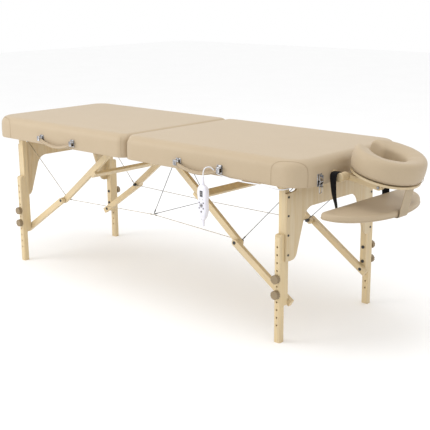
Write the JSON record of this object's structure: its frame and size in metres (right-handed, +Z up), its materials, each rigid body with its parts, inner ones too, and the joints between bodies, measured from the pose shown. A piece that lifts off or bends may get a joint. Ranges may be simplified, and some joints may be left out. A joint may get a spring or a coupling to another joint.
{
  "type": "portable massage table",
  "caption": "Two-fold padded massage table with folding wooden legs, wire-braced struts, height knobs, drooping carry handles, tilting face cradle, arm shelf and corded heat remote.",
  "frame": {"origin": "on the floor under the middle of the whole object, cord left out", "axes": "+X along the table towards the face cradle, +Y across it away from the carry handles, +Z up from the floor"},
  "size_m": [2.2443, 0.7682, 0.7876],
  "materials": {
    "vinyl": "matte embossed vinyl over foam",
    "wood": "clear-lacquered beech and birch",
    "plywood": "clear-lacquered birch plywood",
    "knob": "moulded, brown-beige",
    "chrome": "bright plated",
    "black_steel": "black oxide",
    "zinc_steel": "zinc plated",
    "wire": "coated cable",
    "webbing": "woven black webbing",
    "white_plastic": "satin white",
    "key": "grey keys",
    "white_cord": "white flexible cord"
  },
  "bodies": {
    "foot_half": {"foot_cushion": "vinyl", "foot_frame": "wood", "foot_hinge_leaves": "zinc_steel", "foot_pivot_brackets": "black_steel", "foot_chrome_fittings": "chrome", "fold_pins": "zinc_steel", "support_wires": "wire"},
    "head_half": {"head_cushion": "vinyl", "head_frame": "wood", "head_hinge_leaves": "zinc_steel", "head_pivot_brackets": "black_steel", "head_chrome_fittings": "chrome", "cradle_sockets": "wood", "cord_gland": "white_plastic", "remote_cord": "white_cord"},
    "near_latch": {"near_latch_lever": "chrome"},
    "far_latch": {"far_latch_lever": "chrome"},
    "cradle_base": {"cradle_base": "wood", "arm_shelf": "vinyl", "shelf_straps": "webbing"},
    "cradle_lock": {"cradle_lock_knob": "wood"},
    "cradle_arms": {"cradle_arms": "wood"},
    "head_rest": {"cradle_platform": "plywood", "face_pillow": "vinyl"},
    "remote": {"remote_shell": "white_plastic"},
    "foot_handle": {"foot_handle_grip": "vinyl"},
    "foot_legs": {"foot_leg_posts": "wood", "foot_end_panel": "plywood", "foot_leg_fasteners": "black_steel"},
    "foot_long_braces": {"foot_upper_braces": "wood", "foot_knee_fittings": "black_steel"},
    "foot_short_braces": {"foot_lower_braces": "wood", "foot_brace_bolts": "black_steel"},
    "foot_near_extension": {"foot_near_leg_extension": "wood"},
    "foot_near_lower_knob": {"foot_near_lower_knob": "knob"},
    "foot_near_upper_knob": {"foot_near_upper_knob": "knob"},
    "foot_far_extension": {"foot_far_leg_extension": "wood"},
    "foot_far_lower_knob": {"foot_far_lower_knob": "knob"},
    "foot_far_upper_knob": {"foot_far_upper_knob": "knob"},
    "head_handle": {"head_handle_grip": "vinyl"},
    "head_legs": {"head_leg_posts": "wood", "head_end_panel": "plywood", "head_leg_fasteners": "black_steel"},
    "head_long_braces": {"head_upper_braces": "wood", "head_knee_fittings": "black_steel"},
    "head_short_braces": {"head_lower_braces": "wood", "head_brace_bolts": "black_steel"},
    "head_near_extension": {"head_near_leg_extension": "wood"},
    "head_near_lower_knob": {"head_near_lower_knob": "knob"},
    "head_near_upper_knob": {"head_near_upper_knob": "knob"},
    "head_far_extension": {"head_far_leg_extension": "wood"},
    "head_far_lower_knob": {"head_far_lower_knob": "knob"},
    "head_far_upper_knob": {"head_far_upper_knob": "knob"},
    "remote_key_up_left": {"remote_key_up_left": "key"},
    "remote_key_up_right": {"remote_key_up_right": "key"},
    "remote_key_down_left": {"remote_key_down_left": "key"},
    "remote_key_down_right": {"remote_key_down_right": "key"},
    "remote_key_power": {"remote_key_power": "key"},
    "remote_key_heat": {"remote_key_heat": "key"}
  },
  "joints": [
    {"name": "centre_fold", "type": "hinge", "parent": "foot_half", "child": "head_half", "pos_m": [-0.142, 0.029, 0.634], "axis": [0, 1, 0], "range_deg": [0, 100], "deforming": ["support_wires"]},
    {"name": "foot_leg_fold", "type": "hinge", "parent": "foot_half", "child": "foot_legs", "pos_m": [-0.982, 0.029, 0.647], "axis": [0, -1, 0], "range_deg": [0, 90], "deforming": ["support_wires"]},
    {"name": "foot_long_brace_fold", "type": "hinge", "parent": "foot_half", "child": "foot_long_braces", "pos_m": [-0.302, 0.029, 0.67], "axis": [0, 1, 0], "range_deg": [0, 38.14], "deforming": ["support_wires"]},
    {"name": "foot_short_brace_fold", "type": "hinge", "parent": "foot_legs", "child": "foot_short_braces", "pos_m": [-0.982, 0.029, 0.168], "axis": [0, -1, 0], "range_deg": [0, 52.28], "deforming": ["support_wires"]},
    {"name": "foot_handle_swing", "type": "hinge", "parent": "foot_half", "child": "foot_handle", "pos_m": [-0.602, -0.339, 0.668], "axis": [-1, 0, 0], "range_deg": [0, 80]},
    {"name": "foot_near_height", "type": "slide", "parent": "foot_legs", "child": "foot_near_extension", "axis": [0, 0, 1], "range_m": [-0.128, 0.128], "deforming": ["foot_leg_fasteners"]},
    {"name": "foot_near_lower_knob_turn", "type": "hinge", "parent": "foot_legs", "child": "foot_near_lower_knob", "pos_m": [-0.982, -0.301, 0.2], "axis": [0, -1, 0], "continuous": true},
    {"name": "foot_near_upper_knob_turn", "type": "hinge", "parent": "foot_legs", "child": "foot_near_upper_knob", "pos_m": [-0.982, -0.301, 0.264], "axis": [0, -1, 0], "continuous": true},
    {"name": "foot_far_height", "type": "slide", "parent": "foot_legs", "child": "foot_far_extension", "axis": [0, 0, 1], "range_m": [-0.128, 0.128], "deforming": ["foot_leg_fasteners"]},
    {"name": "foot_far_lower_knob_turn", "type": "hinge", "parent": "foot_legs", "child": "foot_far_lower_knob", "pos_m": [-0.982, 0.359, 0.2], "axis": [0, 1, 0], "continuous": true},
    {"name": "foot_far_upper_knob_turn", "type": "hinge", "parent": "foot_legs", "child": "foot_far_upper_knob", "pos_m": [-0.982, 0.359, 0.264], "axis": [0, 1, 0], "continuous": true},
    {"name": "head_leg_fold", "type": "hinge", "parent": "head_half", "child": "head_legs", "pos_m": [0.698, 0.029, 0.647], "axis": [0, 1, 0], "range_deg": [0, 90], "deforming": ["support_wires"]},
    {"name": "head_long_brace_fold", "type": "hinge", "parent": "head_half", "child": "head_long_braces", "pos_m": [0.018, 0.029, 0.67], "axis": [0, -1, 0], "range_deg": [0, 38.14], "deforming": ["support_wires"]},
    {"name": "head_short_brace_fold", "type": "hinge", "parent": "head_legs", "child": "head_short_braces", "pos_m": [0.698, 0.029, 0.168], "axis": [0, 1, 0], "range_deg": [0, 52.28], "deforming": ["support_wires"]},
    {"name": "head_handle_swing", "type": "hinge", "parent": "head_half", "child": "head_handle", "pos_m": [0.318, -0.339, 0.668], "axis": [-1, 0, 0], "range_deg": [0, 80], "deforming": ["remote_cord"]},
    {"name": "head_near_height", "type": "slide", "parent": "head_legs", "child": "head_near_extension", "axis": [0, 0, 1], "range_m": [-0.128, 0.128], "deforming": ["head_leg_fasteners"]},
    {"name": "head_near_lower_knob_turn", "type": "hinge", "parent": "head_legs", "child": "head_near_lower_knob", "pos_m": [0.698, -0.301, 0.2], "axis": [0, -1, 0], "continuous": true},
    {"name": "head_near_upper_knob_turn", "type": "hinge", "parent": "head_legs", "child": "head_near_upper_knob", "pos_m": [0.698, -0.301, 0.264], "axis": [0, -1, 0], "continuous": true},
    {"name": "head_far_height", "type": "slide", "parent": "head_legs", "child": "head_far_extension", "axis": [0, 0, 1], "range_m": [-0.128, 0.128], "deforming": ["head_leg_fasteners"]},
    {"name": "head_far_lower_knob_turn", "type": "hinge", "parent": "head_legs", "child": "head_far_lower_knob", "pos_m": [0.698, 0.359, 0.2], "axis": [0, 1, 0], "continuous": true},
    {"name": "head_far_upper_knob_turn", "type": "hinge", "parent": "head_legs", "child": "head_far_upper_knob", "pos_m": [0.698, 0.359, 0.264], "axis": [0, 1, 0], "continuous": true},
    {"name": "near_latch_swing", "type": "hinge", "parent": "head_half", "child": "near_latch", "pos_m": [0.8335, -0.208, 0.67], "axis": [0, -1, 0], "range_deg": [0, 120]},
    {"name": "far_latch_swing", "type": "hinge", "parent": "head_half", "child": "far_latch", "pos_m": [0.8335, 0.266, 0.67], "axis": [0, -1, 0], "range_deg": [0, 120]},
    {"name": "cradle_slide", "type": "slide", "parent": "head_half", "child": "cradle_base", "axis": [1, 0, 0], "range_m": [0, 0.12]},
    {"name": "cradle_lock_turn", "type": "hinge", "parent": "cradle_base", "child": "cradle_lock", "pos_m": [0.862, -0.124, 0.661], "axis": [0, -1, 0], "continuous": true},
    {"name": "cradle_arm_tilt", "type": "hinge", "parent": "cradle_base", "child": "cradle_arms", "pos_m": [0.862, 0.029, 0.661], "axis": [0, 1, 0], "range_deg": [0, 12], "deforming": ["shelf_straps"]},
    {"name": "head_rest_tilt", "type": "hinge", "parent": "cradle_arms", "child": "head_rest", "pos_m": [1.009, 0.029, 0.636], "axis": [0, 1, 0], "range_deg": [0, 20], "deforming": ["shelf_straps"]},
    {"name": "remote_swing", "type": "hinge", "parent": "head_handle", "child": "remote", "pos_m": [0.383, -0.371, 0.637], "axis": [-1, 0, 0], "range_deg": [0, 60], "deforming": ["remote_cord"]},
    {"name": "key_up_left_press", "type": "slide", "parent": "remote", "child": "remote_key_up_left", "axis": [0, 1, 0], "range_m": [0, 0.0008], "stiffness_N_per_m": 300},
    {"name": "key_up_right_press", "type": "slide", "parent": "remote", "child": "remote_key_up_right", "axis": [0, 1, 0], "range_m": [0, 0.0008], "stiffness_N_per_m": 300},
    {"name": "key_down_left_press", "type": "slide", "parent": "remote", "child": "remote_key_down_left", "axis": [0, 1, 0], "range_m": [0, 0.0008], "stiffness_N_per_m": 300},
    {"name": "key_down_right_press", "type": "slide", "parent": "remote", "child": "remote_key_down_right", "axis": [0, 1, 0], "range_m": [0, 0.0008], "stiffness_N_per_m": 300},
    {"name": "key_power_press", "type": "slide", "parent": "remote", "child": "remote_key_power", "axis": [0, 1, 0], "range_m": [0, 0.0008], "stiffness_N_per_m": 300},
    {"name": "key_heat_press", "type": "slide", "parent": "remote", "child": "remote_key_heat", "axis": [0, 1, 0], "range_m": [0, 0.0008], "stiffness_N_per_m": 300}
  ],
  "couplings": [
    {"joint": "foot_long_brace_fold", "follows": "foot_leg_fold", "ratio": 0.42368},
    {"joint": "foot_short_brace_fold", "follows": "foot_leg_fold", "ratio": 0.58029},
    {"joint": "head_long_brace_fold", "follows": "head_leg_fold", "ratio": 0.42368},
    {"joint": "head_short_brace_fold", "follows": "head_leg_fold", "ratio": 0.58029}
  ]
}
